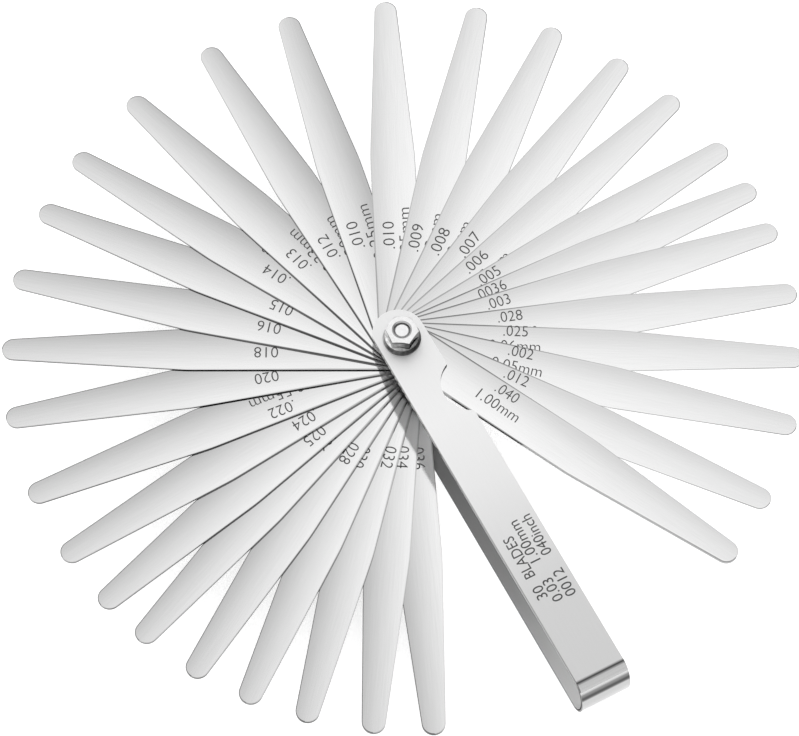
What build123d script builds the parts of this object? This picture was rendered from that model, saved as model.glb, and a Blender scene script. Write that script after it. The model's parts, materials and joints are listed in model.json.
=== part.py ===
from build123d import *
from math import cos, radians, sin, tan
import os

# Feeler gauge: thirty steel blades fan out on one clamping screw between the
# two leaves of a bent-strap holder.  Millimetres and degrees, +Z up.  The origin is
# on the pivot axis, on the underside of the screw head, and the holder runs
# along +X from the pivot to its bend.

# Blades, from the top of the stack down: nominal thickness in millimetres,
# and the angle, from the holder, that each one is fanned out to at rest.
BLADES = [
    (1.00, 26), (0.03, 36), (0.05, 48.5), (0.06, 59.5), (0.07, 70),
    (0.08, 80.5), (0.09, 88), (0.13, 96), (0.15, 107), (0.18, 117),
    (0.20, 128.5), (0.23, 140.5), (0.25, 154.5), (0.25, 169.5), (0.30, 182.5),
    (0.33, 196.5), (0.35, 209), (0.38, 219), (0.40, 230.5), (0.45, 242),
    (0.50, 253), (0.55, 265.5), (0.60, 276), (0.63, 285), (0.65, 292.5),
    (0.70, 301.5), (0.75, 310), (0.80, 318.5), (0.85, 328), (0.90, 336.5),
]
BLADE_REACH = 96.2         # pivot axis to blade tip
BLADE_WIDTH = 11.0         # full width, from the pivot end to the shoulder
SHOULDER_REACH = 52.0      # pivot axis to the shoulder, where the taper starts
SHOULDER_RADIUS = 60.0     # rounding of the shoulder
TIP_RADIUS = 2.8
TAPER_ANGLE = 3.5          # of each tapered edge to the blade's centre line
PIVOT_CLEARANCE = 0.1      # radial, blade hole around the screw
BLADE_GAP = 0.02           # film of air between neighbouring blades

# Holder: one strap bent back on itself, with a thumb notch in one edge of each leaf.
STRAP_THICKNESS = 0.8
STRAP_WIDTH = 12.6
BEND_START = 96.7          # pivot axis to where the leaves run into the bend
BEND_BULGE = 3.7           # how far the flattened round bend stands past that
HOLDER_TAIL = 8.0          # pivot axis to the rounded ends of the leaves
NOTCH_RADIUS = 7.6
NOTCH_ALONG = 17.9         # pivot axis to the notch centre, along the holder
NOTCH_DEPTH = 4.4
LEAF_HOLE_CLEARANCE = 0.1  # radial, leaf hole around the screw

# M4 hexagon clamping screw and hexagon flange nut.
SCREW_RADIUS = 2.0
ACROSS_FLATS = 7.0         # of the screw head and of the nut
HEAD_HEIGHT = 2.8
HEAD_TURN = 10.0           # of a head corner from the holder
SCREW_END_CHAMFER = 0.45
SCREW_END_DEPTH = 0.45     # screw end below the top of the nut
NUT_HEIGHT = 4.8
FLANGE_RADIUS = 4.6
FLANGE_RIM = 0.5           # height of the flange's upright rim
FLANGE_EDGE_RADIUS = 4.1   # where its steep outer slope turns into a shallow one
FLANGE_EDGE = 1.4          # height at which it does
FLANGE_TOP_RADIUS = 3.5    # where the flange runs into the hexagon
FLANGE_TOP = 1.8           # height at which it does
CORNER_BEVEL = 30.0        # of the hexagons' outer corners
NUT_TURN = 58.0            # of a nut corner from the holder, where it was tightened
NUT_MOUTH_RADIUS = 2.4     # countersink of the nut's bore
THREAD_CLEARANCE = 0.05    # radial, nut bore around the screw
NUT_SEAT_GAP = 0.02        # nut flange above the top leaf

# Levels along the pivot axis.
lower_leaf_bottom = HEAD_HEIGHT
blades_bottom = lower_leaf_bottom + STRAP_THICKNESS
stack_height = sum(thickness + BLADE_GAP for thickness, angle in BLADES) + BLADE_GAP
upper_leaf_bottom = blades_bottom + stack_height
upper_leaf_top = upper_leaf_bottom + STRAP_THICKNESS
nut_bottom = upper_leaf_top + NUT_SEAT_GAP
nut_top = nut_bottom + NUT_HEIGHT
screw_top = nut_top - SCREW_END_DEPTH

os.makedirs("parts", exist_ok=True)


def finish(part, name):
    """Label a finished piece and write it out."""
    part.label = name
    export_step(part, f"parts/{name}.step")


def fanned_plane(angle, height):
    """A level plane at a height, with its X axis turned from the holder."""
    heading = (cos(radians(angle)), sin(radians(angle)), 0)
    return Plane(origin=(0, 0, height), x_dir=heading, z_dir=(0, 0, 1))


# --- Holder ---------------------------------------------------------------
half_width = STRAP_WIDTH / 2
holder_middle = (lower_leaf_bottom + upper_leaf_top) / 2
plan_length = BEND_START + BEND_BULGE + HOLDER_TAIL


def strap_side(inset):
    """Side outline of the closed U, inset from the strap's outer face."""
    half_height = (upper_leaf_top - lower_leaf_bottom) / 2 - inset
    top = holder_middle + half_height
    bottom = holder_middle - half_height
    with BuildSketch(Plane.XZ) as side:
        with BuildLine():
            Line((-HOLDER_TAIL, bottom), (BEND_START, bottom))
            EllipticalCenterArc(
                (BEND_START, holder_middle),
                BEND_BULGE - inset,
                half_height,
                start_angle=-90,
                arc_size=180,
            )
            Line((BEND_START, top), (-HOLDER_TAIL, top))
            Line((-HOLDER_TAIL, top), (-HOLDER_TAIL, bottom))
        make_face()
    return side.sketch


with BuildPart() as holder:
    # Side profile: a U that opens towards the tail.
    extrude(strap_side(0), amount=half_width, both=True)
    extrude(strap_side(STRAP_THICKNESS), amount=half_width, both=True, mode=Mode.SUBTRACT)

    # Plan: rounded tail ends, screw holes and thumb notches.
    with BuildSketch(Plane.XY.offset(lower_leaf_bottom)) as plan:
        with Locations((half_width - HOLDER_TAIL, 0)):
            Circle(half_width)
        with Locations((half_width - HOLDER_TAIL, 0)):
            Rectangle(plan_length, STRAP_WIDTH, align=(Align.MIN, Align.CENTER))
        with Locations((NOTCH_ALONG, half_width - NOTCH_DEPTH + NOTCH_RADIUS)):
            Circle(NOTCH_RADIUS, mode=Mode.SUBTRACT)
        Circle(SCREW_RADIUS + LEAF_HOLE_CLEARANCE, mode=Mode.SUBTRACT)
    extrude(amount=upper_leaf_top - lower_leaf_bottom, mode=Mode.INTERSECT)

finish(holder.part, "holder")

# --- Pivot screw ----------------------------------------------------------
corner_radius = ACROSS_FLATS / 2 / cos(radians(30))
bevel_drop = (corner_radius - ACROSS_FLATS / 2) * tan(radians(CORNER_BEVEL))


def bevelled_hexagon(turn, seat, crown):
    """A hexagon from its seat to its crown, whose crown corners are turned to a cone."""
    bevel_start = crown - bevel_drop if crown > seat else crown + bevel_drop
    with BuildPart() as hexagon:
        with BuildSketch(fanned_plane(turn, min(seat, crown))):
            RegularPolygon(corner_radius, 6)
        extrude(amount=abs(crown - seat))
        with BuildSketch(Plane.XZ):
            with BuildLine():
                Polyline(
                    (0, seat),
                    (corner_radius, seat),
                    (corner_radius, bevel_start),
                    (ACROSS_FLATS / 2, crown),
                    (0, crown),
                    close=True,
                )
            make_face()
        revolve(axis=Axis.Z, mode=Mode.INTERSECT)
    return hexagon.part


screw_head = bevelled_hexagon(HEAD_TURN, HEAD_HEIGHT, 0)

with BuildPart() as pivot_screw:
    add(screw_head)
    with BuildSketch(Plane.XY.offset(HEAD_HEIGHT)):
        Circle(SCREW_RADIUS)
    extrude(amount=screw_top - HEAD_HEIGHT)
    chamfer(pivot_screw.edges().group_by(Axis.Z)[-1], SCREW_END_CHAMFER)

finish(pivot_screw.part, "pivot_screw")

# --- Flange nut -----------------------------------------------------------
nut_hexagon = bevelled_hexagon(NUT_TURN, nut_bottom, nut_top)
bore_radius = SCREW_RADIUS + THREAD_CLEARANCE
mouth_depth = NUT_MOUTH_RADIUS - bore_radius

with BuildPart() as flange_nut:
    add(nut_hexagon)
    with BuildSketch(Plane.XZ):
        with BuildLine():
            Polyline(
                (0, nut_bottom),
                (FLANGE_RADIUS, nut_bottom),
                (FLANGE_RADIUS, nut_bottom + FLANGE_RIM),
                (FLANGE_EDGE_RADIUS, nut_bottom + FLANGE_EDGE),
                (FLANGE_TOP_RADIUS, nut_bottom + FLANGE_TOP),
                (0, nut_bottom + FLANGE_TOP),
                close=True,
            )
        make_face()
    revolve(axis=Axis.Z)
    with BuildSketch(Plane.XZ):
        with BuildLine():
            Polyline(
                (0, nut_bottom),
                (bore_radius, nut_bottom),
                (bore_radius, nut_top - mouth_depth),
                (NUT_MOUTH_RADIUS, nut_top),
                (0, nut_top),
                close=True,
            )
        make_face()
    revolve(axis=Axis.Z, mode=Mode.SUBTRACT)

finish(flange_nut.part, "flange_nut")

# --- Blades ---------------------------------------------------------------
tip_centre = BLADE_REACH - TIP_RADIUS
taper_end = tip_centre + TIP_RADIUS * sin(radians(TAPER_ANGLE))
taper_end_half = TIP_RADIUS * cos(radians(TAPER_ANGLE))
blade_half = BLADE_WIDTH / 2


def feeler_blade(thickness, angle, bottom):
    """One blade: a round pivot end, parallel edges, a long taper and a round tip."""
    with BuildPart() as blade:
        with BuildSketch(fanned_plane(angle, bottom)) as outline:
            with BuildLine():
                Line((0, blade_half), (SHOULDER_REACH, blade_half))
                Line((SHOULDER_REACH, blade_half), (taper_end, taper_end_half))
                ThreePointArc(
                    (taper_end, taper_end_half), (BLADE_REACH, 0), (taper_end, -taper_end_half)
                )
                Line((taper_end, -taper_end_half), (SHOULDER_REACH, -blade_half))
                Line((SHOULDER_REACH, -blade_half), (0, -blade_half))
                ThreePointArc((0, -blade_half), (-blade_half, 0), (0, blade_half))
            make_face()
            fillet(outline.vertices().group_by(Axis.X)[1], SHOULDER_RADIUS)
            Circle(SCREW_RADIUS + PIVOT_CLEARANCE, mode=Mode.SUBTRACT)
        extrude(amount=thickness)
    return blade.part


def blade_name(thickness, already_used):
    """Such as blade_0_25mm, then blade_0_25mm_second."""
    name = f"blade_{thickness:.2f}mm".replace(".", "_")
    return name + "_second" if name in already_used else name


names = []
blade_top = upper_leaf_bottom - BLADE_GAP
for thickness, angle in BLADES:
    name = blade_name(thickness, names)
    names.append(name)
    finish(feeler_blade(thickness, angle, blade_top - thickness), name)
    blade_top -= thickness + BLADE_GAP
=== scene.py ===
import json
import math

import bpy
from mathutils import Matrix, Vector


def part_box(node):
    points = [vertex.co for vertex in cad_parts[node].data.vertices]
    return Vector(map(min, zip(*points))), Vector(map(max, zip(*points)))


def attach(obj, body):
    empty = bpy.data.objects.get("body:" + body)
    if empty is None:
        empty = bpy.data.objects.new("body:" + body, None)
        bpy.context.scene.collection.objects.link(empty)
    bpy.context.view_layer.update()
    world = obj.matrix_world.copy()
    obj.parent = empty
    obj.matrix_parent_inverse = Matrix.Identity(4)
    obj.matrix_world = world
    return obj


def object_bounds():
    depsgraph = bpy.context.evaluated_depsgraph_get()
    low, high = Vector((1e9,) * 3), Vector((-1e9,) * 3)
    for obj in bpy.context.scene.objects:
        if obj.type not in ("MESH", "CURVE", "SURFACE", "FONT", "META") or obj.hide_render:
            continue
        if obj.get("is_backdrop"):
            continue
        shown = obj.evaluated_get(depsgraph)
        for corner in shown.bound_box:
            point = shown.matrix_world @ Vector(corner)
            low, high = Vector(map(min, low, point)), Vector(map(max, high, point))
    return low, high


# Looks of the feeler gauge.  Metres, in the CAD frame: the pivot axis is Z, the
# holder runs along +X, and the thirty blades fan out round it.
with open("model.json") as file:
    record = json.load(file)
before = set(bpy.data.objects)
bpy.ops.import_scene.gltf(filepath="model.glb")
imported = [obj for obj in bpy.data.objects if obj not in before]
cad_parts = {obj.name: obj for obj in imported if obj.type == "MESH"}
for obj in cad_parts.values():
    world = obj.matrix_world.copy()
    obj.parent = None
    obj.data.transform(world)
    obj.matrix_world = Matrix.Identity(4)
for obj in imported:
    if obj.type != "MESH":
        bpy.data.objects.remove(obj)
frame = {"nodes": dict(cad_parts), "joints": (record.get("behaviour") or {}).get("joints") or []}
cad_low, cad_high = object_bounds()

MM = 0.001
Y, Z = 1, 2                # places of the axes in a vector

# Camera: it looks down on the pivot from the side, at the photograph's angle.
CAMERA_AZIMUTH = 62.0
CAMERA_ELEVATION = 63.9
CAMERA_DISTANCE = 910 * MM
CAMERA_LENS = 171.9
CAMERA_SENSOR = 36
CAMERA_CLIP_START = 0.01
CAMERA_CLIP_END = 10
AIM_X = 6.3 * MM
AIM_Y = -4.0 * MM
AIM_DROP = 0.8 * MM        # below the holder's top

# Blade outline that the finish follows.
BLADE_HALF_WIDTH = 5.5 * MM
BLADE_REACH = 96.2 * MM
SHOULDER_REACH = 52 * MM
TIP_RADIUS = 2.8 * MM
TAPER_SLOPE = 0.0651

# Blade finish, with painted shade and reflection.  A grey ramp is (position, sRGB grey from 0 to
# 255) pairs; other tones are linear.  Pairs are for the dark blades, painted as in shade, and the
#      pale ones, painted as lit.
PALE_HEADING = 160         # blades fanned out up to here catch the lighter side
FACE_SHADE_GREYS = (             # painted shade and reflection across a blade, from its clockwise side
    ((0.08, 186), (0.5, 216), (0.92, 236)),
    ((0.08, 242), (0.5, 233), (0.92, 213)),
)
SIDE_SHADE_TONES = ((0.03, 0.11), (0.50, 0.34))    # painted shade of the sheared sides, in turn
CLOCKWISE_LINE = (0.28, 0.42)                # painted shade of the clockwise border, short of the tip
TIP_LINE = 0.15            # of the same border at the tip
FAR_LINE = 0.78            # of the counter-clockwise border, past where it fades
NEAR_LINE = (0.55, 50 * MM)                  # its tone by the pivot, and where it has faded
# Headings between which that painted shade by the pivot is different: from, to, tone, faded out
# by.
NEAR_SHADE_HEADINGS = ((20, 92, 0.28, 50 * MM), (160, 235, 0.06, 85 * MM))
NEAR_LINE_START = 20 * MM  # from where it fades
TIP_LINE_SPAN = (72 * MM, 92 * MM)           # over which the clockwise border darkens
EDGE_LINE = 0.16 * MM      # width of the border
EDGE_LINE_SPREAD = 2.2     # how much wider it is by the pivot
EDGE_LINE_SPAN = (15 * MM, 45 * MM)          # over which it narrows
EDGE_LINE_END = (0.6, 1.4)                   # in widths: how softly it ends
FALL_START = BLADE_REACH * 0.35
FALL_SHADE_TONES = (1.06, 0.97)                    # painted shade: what the face is multiplied by, to the tip
BLADE_GRAIN = (0.12, 5, 1)
BLADE_GRAIN_TONES = (0.965, 1.015)
BLADE_ROUGHNESS = (0.08, 0.12)
BLADE_FLAT = (0.4, 0.6)    # of the normal's Z, from side to face

# Holder features that the finish follows.
LEAF_START = -8 * MM
BEND_START = 96.7 * MM
BEND_DEPTH = 3.3 * MM      # how far the middle of the strap bulges past it
STRAP_LOW = 2.8 * MM
STRAP_HIGH = 16.93 * MM
STRAP_HALF_WIDTH = 6.3 * MM
STRAP_HALF_THICKNESS = 0.4 * MM
INNER_FADE = (8 * MM, 14 * MM)               # heights, from lower leaf to upper

# Holder finish, as grey ramps: along the upper leaf (painted shade), round the bend by height
# (painted reflection bands), and along the lower leaf's inner face (painted shade inside the
# strap).
UPPER_SHADE_GREYS = ((0.0, 236), (0.3, 240), (0.48, 233), (0.62, 222), (0.78, 211), (1.0, 208))
# Painted reflection bands round the bend, by height.
BEND_REFLECTION_GREYS = (
    (0.0, 205), (0.30, 190), (0.60, 185), (0.69, 185), (0.725, 110), (0.75, 76),
    (0.785, 80), (0.81, 115), (0.85, 135), (0.875, 185), (0.92, 215), (0.985, 190),
)
# Painted shade on the lower leaf's inner face, darkest by the pivot.
LOWER_SHADE_GREYS = ((0.0, 120), (0.4, 137), (0.7, 162), (0.95, 203), (1.0, 212))
UPPER_END = BEND_START + 0.3 * MM            # where the bend's greys take over
START_LINE = 0.13          # tone of the line of painted reflection where the upper leaf meets the bend
START_LINE_AT = BEND_START + 0.1 * MM
START_LINE_SPAN = (0.1 * MM, 0.65 * MM)      # over which it fades to both sides
LONG_LINE = 0.22           # tone of the line of painted shade along the upper leaf's near edge
LONG_LINE_SPAN = (0.12 * MM, 0.3 * MM)
LINE_DEPTH = 1.2 * MM      # from the top, how far down both lines go
CUT_LINE = 0.03            # tone of painted shade on the near sheared edge at its upper corner
CUT_LINE_DEPTH = 0.35 * MM
CUT_END = BEND_START - 1 * MM
CUT_UPRIGHT = 0.4          # of the normal's Z: less is a sheared edge, up to that end
CUT_SIDE = (0.4, 0.7)      # of the normal's Y, from face to sheared edge
HOLDER_GRAIN = (0.1, 6, 1)
HOLDER_GRAIN_TONES = (0.985, 1.01)
HOLDER_ROUGHNESS = (0.10, 0.16)              # of the bend
LEAF_ROUGHNESS = 0.45
INNER_ROUGHNESS = 0.7
HOLDER_FLAT = (0.97, 0.995)                  # of the normal's Z, from bend to leaf

# Nut features that the finish follows.
RIM_TOP = 18.36 * MM       # of the steep part of the flange
CONE_TOP = 18.8 * MM       # of the shallow part above it
NUT_TOP = 21.75 * MM
CROWN_DEPTH = 0.6 * MM
NUT_HALF_WIDTH = 4.5 * MM
THREAD_MOUTH = 2.6 * MM
SHADE_HEADING = 40         # the side of the nut that lies in shade

# Nut finish: single greys, and grey ramps from the lit side to the shaded one.
PLATE_GREY = 246
MOUTH_GREY = 200
# The crown's grey is painted shade.
CROWN_SHADE_GREY = 72
FLANK_SHADE_GREYS = ((0.1, 222), (0.3, 180), (0.62, 155), (0.74, 85), (1.0, 60))
CONE_SHADE_GREYS = ((0.1, 240), (0.35, 225), (0.5, 170), (0.7, 155), (1.0, 110))
RIM_SHADE_GREYS = ((0.05, 190), (0.3, 100), (0.6, 80), (1.0, 60))
PLATE_MOTTLE = (1.5, 1.5, 1.5)
PLATE_TONES = (0.90, 1.02)                   # what its mottle multiplies the plate by
CONE_TONES = (0.7, 1.3)    # the flange's cone
FLANK_TONES = (0.6, 1.4)   # and the steep faces
PLATE_ROUGHNESS = (0.08, 0.18)
MOUTH_ROUGHNESS = 0.4
PLATE_FLAT = (0.72, 0.84)  # of the normal's Z, from steep to shallow

# Marking.
BLADE_INK_GREY = 70
HOLDER_INK_GREY = 66
INK_SPECKLE = (12, 12, 12)
INK_TONES = (0.8, 1.2)
INK_ROUGHNESS = 0.7
MARK_SINK = 0.003 * MM     # into the steel
MARK_STAND = 0.005 * MM    # above it
CURVE_STEPS = 3
LABEL_SIZE = 4.15 * MM
LABEL_WEIGHT = -0.03 * MM
INCH_STRETCH = 0.89
METRIC_STRETCH = 0.94
METRIC_BACK = 3.3          # how far nearer the pivot the metric size starts (mm)
METRIC_DOWN = 3.95         # how far below the inch size it stands (mm)

# What is etched on each blade beside its metric size, and where: the text, how far
# out it starts and how far off the middle line it stands (mm), and its stretch.
INCH_LABELS = {
    "blade_1_00mm": (".040", 25.4, 2.0, 1.0),
    "blade_0_03mm": (".012", 25.6, 2.1, 1.0),
    "blade_0_05mm": (".002", 25.2, 2.6, 1.0),
    "blade_0_06mm": (".025", 24.0, 2.8, 1.0),
    "blade_0_07mm": (".028", 23.5, 2.0, 1.0),
    "blade_0_08mm": (".003", 22.4, 1.7, 1.0),
    "blade_0_09mm": (".0036", 21.4, 2.0, 1.0),
    "blade_0_13mm": (".005", 24.2, 2.0, 1.05),
    "blade_0_15mm": (".006", 24.6, 1.6, 1.15),
    "blade_0_18mm": (".007", 27.5, 0.7, 1.2),
    "blade_0_20mm": (".008", 25.2, 1.3, 1.25),
    "blade_0_23mm": (".009", 25.1, 1.1, 1.25),
    "blade_0_25mm": (".010", 25.9, 0.5, 1.25),
    "blade_0_25mm_second": (".010", 28.0, 0.4, 1.25),
    "blade_0_30mm": (".012", 28.2, 0.4, 1.2),
    "blade_0_33mm": (".013", 30.7, 0.1, 1.15),
    "blade_0_35mm": (".014", 32.5, -1.2, 1.15),
    "blade_0_38mm": (".015", 27.1, 0.0, 1.1),
    "blade_0_40mm": (".016", 28.6, -0.6, 1.1),
    "blade_0_45mm": (".018", 28.7, -0.6, 1.1),
    "blade_0_50mm": (".020", 29.3, -0.4, 1.1),
    "blade_0_55mm": (".022", 28.9, 1.5, 1.1),
    "blade_0_60mm": (".024", 25.7, 0.7, 1.1),
    "blade_0_63mm": (".025", 26.3, 0.5, 1.1),
    "blade_0_65mm": (".026", 25.3, -0.7, 1.1),
    "blade_0_70mm": (".028", 24.8, 0.9, 1.1),
    "blade_0_75mm": (".030", 24.3, -0.4, 1.1),
    "blade_0_80mm": (".032", 22.4, 1.7, 1.1),
    "blade_0_85mm": (".034", 21.9, 0.6, 1.1),
    "blade_0_90mm": (".036", 22.1, 0.6, 1.1),
}

# The same for the holder, read from its far end, with x and y in mm.
HOLDER_LABEL_SIZE = 3.8 * MM
HOLDER_LABELS = (
    ("30", -75.0, 1.4, 1), ("BLADES", -69.0, 1.4, 0.9),
    ("0.03", -77.0, -1.6, 1), ("1.00mm", -66.5, -1.6, 1),
    ("0012", -77.2, -4.9, 1), ("040inch", -65.5, -4.9, 0.95),
)

# Stage.
FLOOR_HALF = 6.0
FLOOR_DROP = 0.05 * MM
FLOOR_TONE = 0.9
FLOOR_ROUGHNESS = 0.9
FLOOR_GLOW = 0.45
RING_STEPS = 96
FLAG_RADIUS = 1.0
FLAG_HEIGHT = 0.62
FLAG_FADE_START = 0.35
FLAG_HEADING = 50
FLAG_GREYS = ((0.0, 225), (0.5, 225), (0.9, 240), (0.97, 60), (1.0, 40))
SKY_GREYS = ((0.0, 248), (0.1, 250), (0.3, 255))
DISC_DISTANCE = 1.3
DISC_RADIUS = 0.20
DISC_TONE = 0.03


# --- Node helpers ---------------------------------------------------------
def new_material(name):
    material = bpy.data.materials.new(name)
    material.use_nodes = True
    tree = material.node_tree
    return material, tree, tree.nodes["Principled BSDF"]


def add_node(tree, kind, **settings):
    node = tree.nodes.new(kind)
    for key, value in settings.items():
        setattr(node, key, value)
    return node


def math_node(tree, operation, first, second=None):
    node = add_node(tree, "ShaderNodeMath", operation=operation)
    for socket, value in zip(node.inputs, (first, second)):
        if value is None:
            continue
        if isinstance(value, (int, float)):
            socket.default_value = value
        else:
            tree.links.new(value, socket)
    return node.outputs[0]


def radius(tree, first, second):
    """How far from the origin two coordinates put a point."""
    square = math_node(tree, "ADD", math_node(tree, "MULTIPLY", first, first),
                       math_node(tree, "MULTIPLY", second, second))
    return math_node(tree, "SQRT", square)


def remap(tree, value, from_low, from_high, to_low, to_high):
    node = add_node(tree, "ShaderNodeMapRange")
    tree.links.new(value, node.inputs["Value"])
    for key, number in zip(
        ("From Min", "From Max", "To Min", "To Max"), (from_low, from_high, to_low, to_high)
    ):
        node.inputs[key].default_value = number
    return node.outputs["Result"]


def vary(tree, noise, low, high):
    """A value that goes from low to high as a noise does, over most of its range."""
    return remap(tree, noise, 0.3, 0.7, low, high)


def to_linear(grey):
    share = grey / 255
    return share / 12.92 if share <= 0.04045 else ((share + 0.055) / 1.055) ** 2.4


def ramp(tree, value, stops):
    """A grey ramp: stops are (position, sRGB grey from 0 to 255)."""
    node = add_node(tree, "ShaderNodeValToRGB")
    elements = node.color_ramp.elements
    while len(elements) < len(stops):
        elements.new(0.5)
    for element, (position, grey) in zip(elements, stops):
        element.position = position
        level = to_linear(grey)
        element.color = (level, level, level, 1)
    tree.links.new(value, node.inputs["Fac"])
    return node.outputs["Color"]


def mix_grey(tree, factor, first, second, blend="MIX"):
    node = add_node(tree, "ShaderNodeMix", data_type="RGBA", blend_type=blend)
    for key, value in ((0, factor), (6, first), (7, second)):
        if isinstance(value, (int, float)):
            node.inputs[key].default_value = value if key == 0 else (value, value, value, 1)
        else:
            tree.links.new(value, node.inputs[key])
    return node.outputs[2]


def multiply(tree, first, second):
    return mix_grey(tree, 1.0, first, second, "MULTIPLY")


def separate(tree, vector):
    parts = add_node(tree, "ShaderNodeSeparateXYZ")
    tree.links.new(vector, parts.inputs[0])
    return parts.outputs


def turned_coordinates(tree, heading):
    """Metres with X along a heading in degrees, as one vector and apart, and the normal."""
    where = add_node(tree, "ShaderNodeTexCoord")
    turn = add_node(tree, "ShaderNodeMapping")
    turn.inputs["Rotation"].default_value = (0, 0, math.radians(-heading))
    tree.links.new(where.outputs["Object"], turn.inputs["Vector"])
    turned = turn.outputs["Vector"]
    return turned, separate(tree, turned), where.outputs["Normal"]


def stretched_noise(tree, coordinates, scale, detail):
    """Noise with its own scale, per millimetre, in each direction."""
    stretch = add_node(tree, "ShaderNodeMapping")
    stretch.inputs["Scale"].default_value = tuple(s / MM for s in scale)
    tree.links.new(coordinates, stretch.inputs["Vector"])
    noise = add_node(tree, "ShaderNodeTexNoise")
    noise.inputs["Scale"].default_value = 1.0
    noise.inputs["Detail"].default_value = detail
    tree.links.new(stretch.outputs["Vector"], noise.inputs["Vector"])
    return noise.outputs["Fac"]


def face_share(tree, normal, axis, low, high):
    """0 to 1 as one part of the normal goes from low to high."""
    facing = math_node(tree, "ABSOLUTE", separate(tree, normal)[axis])
    return remap(tree, facing, low, high, 0, 1)


# --- Blade material -------------------------------------------------------
def edge_distance(tree, along, across):
    """How far in from the blade's outline a point of its face lies."""
    taper = math_node(tree, "SUBTRACT", SHOULDER_REACH, along)
    taper = math_node(tree, "MULTIPLY", taper, TAPER_SLOPE)
    half = math_node(tree, "ADD", math_node(tree, "MINIMUM", taper, 0.0), BLADE_HALF_WIDTH)
    side = math_node(tree, "SUBTRACT", half, math_node(tree, "ABSOLUTE", across))
    past = math_node(tree, "SUBTRACT", along, BLADE_REACH - TIP_RADIUS)
    beyond = math_node(tree, "GREATER_THAN", past, 0.0)
    tip = math_node(tree, "SUBTRACT", TIP_RADIUS, radius(tree, past, across))
    tip = math_node(tree, "MULTIPLY", tip, beyond)
    side = math_node(tree, "MULTIPLY", side, math_node(tree, "SUBTRACT", 1.0, beyond))
    return math_node(tree, "ADD", side, tip)


def near_line(heading):
    """The counter-clockwise border's painted shade by the pivot, and how far out it has faded."""
    for low, high, tone, reach in NEAR_SHADE_HEADINGS:
        if low < heading < high:
            return tone, reach
    return NEAR_LINE


def painted_edge_shade(tree, along, across, heading, pale):
    """What the painted shade along a blade's border multiplies its face by."""
    near, reach = near_line(heading)
    left = remap(tree, along, NEAR_LINE_START, reach, near, FAR_LINE)
    right = remap(tree, along, *TIP_LINE_SPAN, CLOCKWISE_LINE[pale], TIP_LINE)
    depth = mix_grey(tree, math_node(tree, "LESS_THAN", across, 0.0), left, right)
    width = remap(tree, along, *EDGE_LINE_SPAN, EDGE_LINE * EDGE_LINE_SPREAD, EDGE_LINE)
    inward = math_node(tree, "DIVIDE", edge_distance(tree, along, across), width)
    return mix_grey(tree, remap(tree, inward, *EDGE_LINE_END, 0, 1), depth, 1.0)


def blade_steel(name, heading, pale, side):
    """Ground and polished spring steel, with painted shade and reflection across its face, a
    border of painted shade and sheared sides in painted shade.
    """
    material, tree, shader = new_material(name)
    coordinates, (along, across, _), normal = turned_coordinates(tree, heading)
    share = remap(tree, across, -BLADE_HALF_WIDTH, BLADE_HALF_WIDTH, 0, 1)
    # Painted shade and reflection across the face: one ramp for lit blades, one for blades in
    # shade.
    tone = ramp(tree, share, FACE_SHADE_GREYS[pale])
    # Painted shade: lighter by the pivot, darker toward the tip.
    tone = multiply(tree, tone, remap(tree, along, FALL_START, BLADE_REACH, *FALL_SHADE_TONES))
    grain = stretched_noise(tree, coordinates, BLADE_GRAIN, 3)
    tone = multiply(tree, tone, vary(tree, grain, *BLADE_GRAIN_TONES))
    # A border of painted shade along the blade's edges, heaviest by the pivot.
    tone = multiply(tree, tone, painted_edge_shade(tree, along, across, heading, pale))
    flat = face_share(tree, normal, Z, *BLADE_FLAT)
    tree.links.new(mix_grey(tree, flat, side, tone), shader.inputs["Base Color"])
    tree.links.new(vary(tree, grain, *BLADE_ROUGHNESS), shader.inputs["Roughness"])
    shader.inputs["Metallic"].default_value = 1.0
    return material


# --- Holder material ------------------------------------------------------
def strap_outside(tree, along, across, up, leaf):
    """The upper leaf in painted shade and the bend in painted reflection, with dark painted lines
    at the leaf's borders.
    """
    drop = remap(tree, up, STRAP_LOW, STRAP_HIGH, 0, 1)
    bent = math_node(tree, "GREATER_THAN", along, UPPER_END)
    # Painted shade along the upper leaf, and painted reflection bands round the bend.
    tone = mix_grey(tree, bent, ramp(tree, leaf, UPPER_SHADE_GREYS), ramp(tree, drop, BEND_REFLECTION_GREYS))
    # Painted dark lines: reflection where the leaf meets the bend, and shade along its near edge.
    start = math_node(tree, "SUBTRACT", along, START_LINE_AT)
    start = math_node(tree, "ABSOLUTE", start)
    start = remap(tree, start, *START_LINE_SPAN, START_LINE, 1.0)
    edge = math_node(tree, "ADD", across, STRAP_HALF_WIDTH)
    edge = remap(tree, edge, *LONG_LINE_SPAN, LONG_LINE, 1.0)
    line = math_node(tree, "MINIMUM", start, edge)
    high = math_node(tree, "GREATER_THAN", up, STRAP_HIGH - LINE_DEPTH)
    return mix_grey(tree, high, tone, multiply(tree, tone, line))


def strap_inside(tree, along, up):
    """1 inside the strap and 0 outside, told apart by the ellipse its bend follows."""
    past = math_node(tree, "SUBTRACT", along, BEND_START)
    past = math_node(tree, "DIVIDE", math_node(tree, "MAXIMUM", past, 0.0), BEND_DEPTH)
    half = (STRAP_HIGH - STRAP_LOW) / 2 - STRAP_HALF_THICKNESS
    middle = math_node(tree, "SUBTRACT", up, (STRAP_LOW + STRAP_HIGH) / 2)
    middle = math_node(tree, "DIVIDE", middle, half)
    middle = math_node(tree, "ABSOLUTE", middle)
    square = math_node(tree, "ADD", math_node(tree, "POWER", past, 2.0),
                       math_node(tree, "POWER", middle, 2.0))
    return math_node(tree, "LESS_THAN", square, 1.0)


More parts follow.
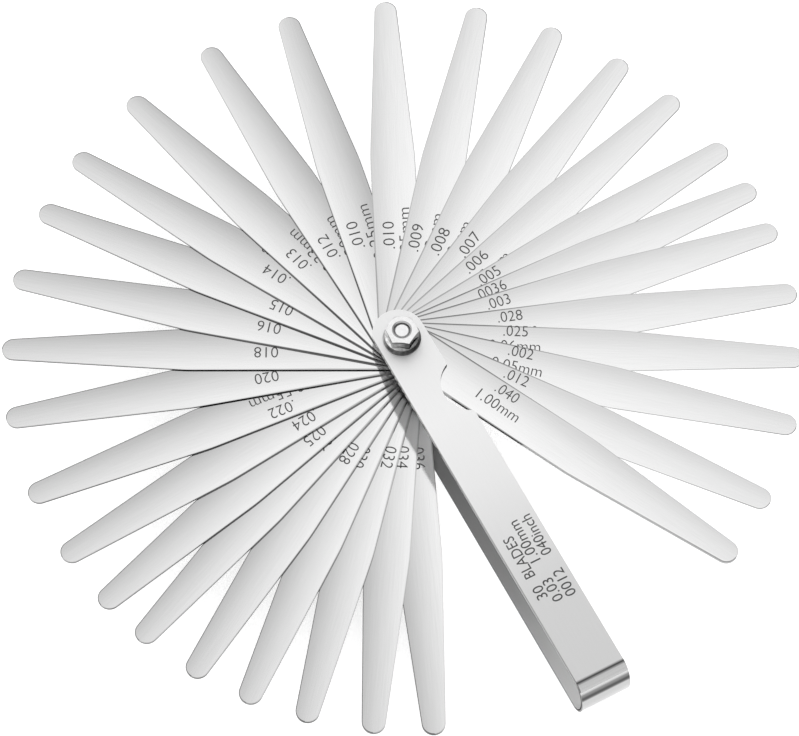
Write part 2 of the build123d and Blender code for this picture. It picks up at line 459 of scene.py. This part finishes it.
def strap_cut(tree, along, normal):
    """1 on the sheared edges of the strap: the leaves' sides and ends."""
    upright = math_node(tree, "ABSOLUTE", separate(tree, normal)[Z])
    upright = math_node(tree, "LESS_THAN", upright, CUT_UPRIGHT)
    before = math_node(tree, "LESS_THAN", along, CUT_END)
    cut = math_node(tree, "MULTIPLY", upright, before)
    return math_node(tree, "MAXIMUM", cut, face_share(tree, normal, Y, *CUT_SIDE))


def holder_steel():
    """Satin stainless strap, with painted shade and reflection: polished round the bend, duller
    inside, its edges sheared.
    """
    material, tree, shader = new_material("holder_steel")
    coordinates, (along, across, up), normal = turned_coordinates(tree, 0)
    leaf = remap(tree, along, LEAF_START, BEND_START, 0, 1)
    tone = strap_outside(tree, along, across, up, leaf)
    inner = strap_inside(tree, along, up)
    # Painted shade inside the strap, fading out toward the upper leaf.
    inside = mix_grey(tree, remap(tree, up, *INNER_FADE, 0, 1), ramp(tree, leaf, LOWER_SHADE_GREYS), 1.0)
    tone = mix_grey(tree, inner, tone, inside)
    grain = stretched_noise(tree, coordinates, HOLDER_GRAIN, 3)
    tone = multiply(tree, tone, vary(tree, grain, *HOLDER_GRAIN_TONES))
    # The near sheared edge is painted in shade at its upper corner, and the others are plain.
    corner = math_node(tree, "GREATER_THAN", up, STRAP_HIGH - CUT_LINE_DEPTH)
    near = math_node(tree, "LESS_THAN", across, 0.0)
    sheared = mix_grey(tree, math_node(tree, "MULTIPLY", corner, near), CUT_LINE, 1.0)
    tone = mix_grey(tree, strap_cut(tree, along, normal), tone, sheared)
    tree.links.new(tone, shader.inputs["Base Color"])
    flat = face_share(tree, normal, Z, *HOLDER_FLAT)
    polish = mix_grey(tree, flat, vary(tree, grain, *HOLDER_ROUGHNESS), LEAF_ROUGHNESS)
    tree.links.new(mix_grey(tree, inner, polish, INNER_ROUGHNESS), shader.inputs["Roughness"])
    shader.inputs["Metallic"].default_value = 1.0
    return material


# --- Other materials ------------------------------------------------------
def plated_steel():
    """Bright nickel plate: dull in the mouth of the thread, with painted shade on the flanks, the
    rim, the crown and the flange's cone.
    """
    material, tree, shader = new_material("plated_steel")
    coordinates, (right, across, up), normal = turned_coordinates(tree, SHADE_HEADING)
    mottle = stretched_noise(tree, coordinates, PLATE_MOTTLE, 4)
    side = remap(tree, right, -NUT_HALF_WIDTH, NUT_HALF_WIDTH, 0, 1)
    # Faces that look up: the plain ones, and the shallow cone of the flange, painted with shade
    # from its lit side to its shaded one.
    bright = multiply(tree, to_linear(PLATE_GREY), vary(tree, mottle, *PLATE_TONES))
    streaks = remap(tree, mottle, 0.35, 0.65, *CONE_TONES)
    cone = multiply(tree, ramp(tree, side, CONE_SHADE_GREYS), streaks)
    bright = mix_grey(tree, math_node(tree, "LESS_THAN", up, CONE_TOP), bright, cone)
    # Steep faces: the flanks, the flange's rim and the crown in painted shade, and the mouth of
    # the thread.
    low = math_node(tree, "LESS_THAN", up, RIM_TOP)
    flank = mix_grey(tree, low, ramp(tree, side, FLANK_SHADE_GREYS), ramp(tree, side, RIM_SHADE_GREYS))
    crown = math_node(tree, "GREATER_THAN", up, NUT_TOP - CROWN_DEPTH)
    flank = mix_grey(tree, crown, flank, to_linear(CROWN_SHADE_GREY))
    flank = multiply(tree, flank, vary(tree, mottle, *FLANK_TONES))
    mouth = math_node(tree, "LESS_THAN", radius(tree, right, across), THREAD_MOUTH)
    flank = mix_grey(tree, mouth, flank, to_linear(MOUTH_GREY))
    upward = face_share(tree, normal, Z, *PLATE_FLAT)
    tree.links.new(mix_grey(tree, upward, flank, bright), shader.inputs["Base Color"])
    polish = vary(tree, mottle, *PLATE_ROUGHNESS)
    tree.links.new(mix_grey(tree, mouth, polish, MOUTH_ROUGHNESS), shader.inputs["Roughness"])
    shader.inputs["Metallic"].default_value = 1.0
    return material


def etched_ink(name, grey):
    """Dark grey laser marking."""
    material, tree, shader = new_material(name)
    coordinates, _, _ = turned_coordinates(tree, 0)
    speckle = stretched_noise(tree, coordinates, INK_SPECKLE, 2)
    tone = multiply(tree, to_linear(grey), vary(tree, speckle, *INK_TONES))
    tree.links.new(tone, shader.inputs["Base Color"])
    shader.inputs["Roughness"].default_value = INK_ROUGHNESS
    return material


def new_glow(name):
    """A material that only shines."""
    material = bpy.data.materials.new(name)
    material.use_nodes = True
    tree = material.node_tree
    tree.nodes.clear()
    light = add_node(tree, "ShaderNodeEmission")
    end = add_node(tree, "ShaderNodeOutputMaterial")
    tree.links.new(light.outputs[0], end.inputs["Surface"])
    return material, tree, light.inputs["Color"]


# --- Pieces ---------------------------------------------------------------
def set_material(piece, material):
    piece.data.materials.clear()
    piece.data.materials.append(material)


def new_piece(name, vertices, faces, material):
    mesh = bpy.data.meshes.new(name)
    mesh.from_pydata(vertices, [], faces)
    piece = bpy.data.objects.new(name, mesh)
    bpy.context.scene.collection.objects.link(piece)
    set_material(piece, material)
    return piece


def marking(name, lines, placement, body, material):
    """Flat marks from (text, size, x, y, stretch, weight) lines, just proud of a face."""
    drawn = []
    for text, size, x, y, stretch, weight in lines:
        curve = bpy.data.curves.new(name + "_line", "FONT")
        curve.body = text
        curve.size = size
        curve.offset = weight
        curve.extrude = (MARK_SINK + MARK_STAND) / 2
        curve.resolution_u = CURVE_STEPS
        line = bpy.data.objects.new(name + "_line", curve)
        bpy.context.scene.collection.objects.link(line)
        line.matrix_world = (
            placement @ Matrix.Translation((x, y, (MARK_STAND - MARK_SINK) / 2))
            @ Matrix.Diagonal((stretch, 1, 1, 1))
        )
        drawn.append(line)
    bpy.context.view_layer.update()
    depsgraph = bpy.context.evaluated_depsgraph_get()
    vertices, faces = [], []
    for line in drawn:
        mesh = bpy.data.meshes.new_from_object(line.evaluated_get(depsgraph))
        start = len(vertices)
        vertices += [line.matrix_world @ v.co for v in mesh.vertices]
        faces += [[start + i for i in face.vertices] for face in mesh.polygons]
        bpy.data.meshes.remove(mesh)
        bpy.data.objects.remove(line)
    piece = new_piece(name, vertices, faces, material)
    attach(piece, body)


def stage_piece(name, corners, faces, material):
    piece = new_piece(name, corners, faces, material)
    piece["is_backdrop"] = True
    return piece


def reflections_only(piece):
    piece.visible_camera = False
    piece.visible_diffuse = False
    piece.visible_shadow = False
    piece.visible_transmission = False


# --- Blades ---------------------------------------------------------------
blade_ink = etched_ink("blade_ink", BLADE_INK_GREY)
holder_ink = etched_ink("holder_ink", HOLDER_INK_GREY)

for count, joint in enumerate(frame["joints"]):
    node = joint["child"]
    if node not in INCH_LABELS:
        continue
    # Its lower limit folds the blade onto the holder, so it gives the heading.
    heading = -joint["range_deg"][0]
    _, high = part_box(node)
    blade = frame["nodes"][node]
    # Blades fanned out this far are painted as lit, the others as in shade.
    pale = heading < PALE_HEADING
    # The sheared sides are painted in shade, darker on the blades in shade.
    side = SIDE_SHADE_TONES[pale][count % 2]
    set_material(blade, blade_steel(node + "_steel", heading, pale, side))
    placement = Matrix.Rotation(math.radians(heading), 4, "Z")
    placement.translation = (0, 0, high.z)
    inch, out, off, stretch = INCH_LABELS[node]
    metric = ".".join(node.split("_")[1:3])
    marking(
        "label_" + node[6:],
        [
            (inch, LABEL_SIZE, out * MM, off * MM, INCH_STRETCH * stretch, LABEL_WEIGHT),
            (metric, LABEL_SIZE, (out - METRIC_BACK * stretch) * MM, (off - METRIC_DOWN) * MM,
             METRIC_STRETCH * stretch, LABEL_WEIGHT),
        ],
        placement, node, blade_ink,
    )

# --- Holder, screw and nut ------------------------------------------------
set_material(frame["nodes"]["holder"], holder_steel())
plate = plated_steel()
for node in ("pivot_screw", "flange_nut"):
    set_material(frame["nodes"][node], plate)

_, holder_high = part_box("holder")
placement = Matrix.Rotation(math.pi, 4, "Z")
placement.translation = (0, 0, holder_high.z)
marking(
    "label_holder",
    [(text, HOLDER_LABEL_SIZE, x * MM, y * MM, stretch, 0)
     for text, x, y, stretch in HOLDER_LABELS],
    placement, "holder", holder_ink,
)

# --- Stage ----------------------------------------------------------------
floor_material, _, shader = new_material("floor")
shader.inputs["Base Color"].default_value = (FLOOR_TONE, FLOOR_TONE, FLOOR_TONE, 1)
shader.inputs["Roughness"].default_value = FLOOR_ROUGHNESS
shader.inputs["Specular IOR Level"].default_value = 0.0
shader.inputs["Emission Color"].default_value = (1, 1, 1, 1)
shader.inputs["Emission Strength"].default_value = FLOOR_GLOW
floor = stage_piece("floor", [
    (-FLOOR_HALF, -FLOOR_HALF, 0), (FLOOR_HALF, -FLOOR_HALF, 0),
    (FLOOR_HALF, FLOOR_HALF, 0), (-FLOOR_HALF, FLOOR_HALF, 0),
], [(0, 1, 2, 3)], floor_material)
floor.location.z = cad_low.z - FLOOR_DROP

# A grey flag stands round the horizon, as beside a light tent, with one dark
# stretch.  Only reflections see it.
flag_material, tree, colour = new_glow("flag")
_, (along, _, up), _ = turned_coordinates(tree, FLAG_HEADING)
turn = remap(tree, along, -FLAG_RADIUS, FLAG_RADIUS, 0, 1)
fade = remap(tree, up, FLAG_FADE_START, FLAG_HEIGHT, 0, 1)
tree.links.new(mix_grey(tree, fade, ramp(tree, turn, FLAG_GREYS), 1.0), colour)
ring = [2 * math.pi * i / RING_STEPS for i in range(RING_STEPS)]
flag = stage_piece("flag", [
    (FLAG_RADIUS * math.cos(a), FLAG_RADIUS * math.sin(a), z)
    for z in (0, FLAG_HEIGHT) for a in ring
], [
    (i, (i + 1) % RING_STEPS, RING_STEPS + (i + 1) % RING_STEPS, RING_STEPS + i)
    for i in range(RING_STEPS)
], flag_material)
reflections_only(flag)

world = bpy.data.worlds.new("studio")
bpy.context.scene.world = world
world.use_nodes = True
tree = world.node_tree
where = add_node(tree, "ShaderNodeTexCoord")
sky = ramp(tree, separate(tree, where.outputs["Generated"])[Z], SKY_GREYS)
tree.links.new(sky, tree.nodes["Background"].inputs["Color"])
tree.nodes["Background"].inputs["Strength"].default_value = 1.0

# --- Camera ---------------------------------------------------------------
camera = bpy.data.objects.new("camera", bpy.data.cameras.new("camera"))
bpy.context.scene.collection.objects.link(camera)
azimuth, elevation = math.radians(CAMERA_AZIMUTH), math.radians(CAMERA_ELEVATION)
back = Vector((
    math.sin(azimuth) * math.cos(elevation),
    -math.cos(azimuth) * math.cos(elevation),
    math.sin(elevation),
))
aim = Vector((AIM_X, AIM_Y, holder_high.z - AIM_DROP))
camera.location = aim + back * CAMERA_DISTANCE
camera.rotation_mode = "QUATERNION"
camera.rotation_quaternion = (-back).to_track_quat("-Z", "Y")
camera.data.lens = CAMERA_LENS
camera.data.sensor_width = CAMERA_SENSOR
camera.data.clip_start = CAMERA_CLIP_START
camera.data.clip_end = CAMERA_CLIP_END
bpy.context.scene.camera = camera

# The photographer's side of the tent: a dark disc behind the camera.
disc_material, _, colour = new_glow("lens_side")
colour.default_value = (DISC_TONE, DISC_TONE, DISC_TONE, 1)
side = back.cross(Vector((0, 0, 1))).normalized()
rise = side.cross(back)
centre = camera.location + back * (DISC_DISTANCE - CAMERA_DISTANCE)
disc = stage_piece("lens_side", [
    centre + (side * math.cos(a) + rise * math.sin(a)) * DISC_RADIUS for a in ring
], [tuple(range(RING_STEPS))], disc_material)
reflections_only(disc)

bpy.context.scene.view_settings.view_transform = "Standard"

low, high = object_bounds()
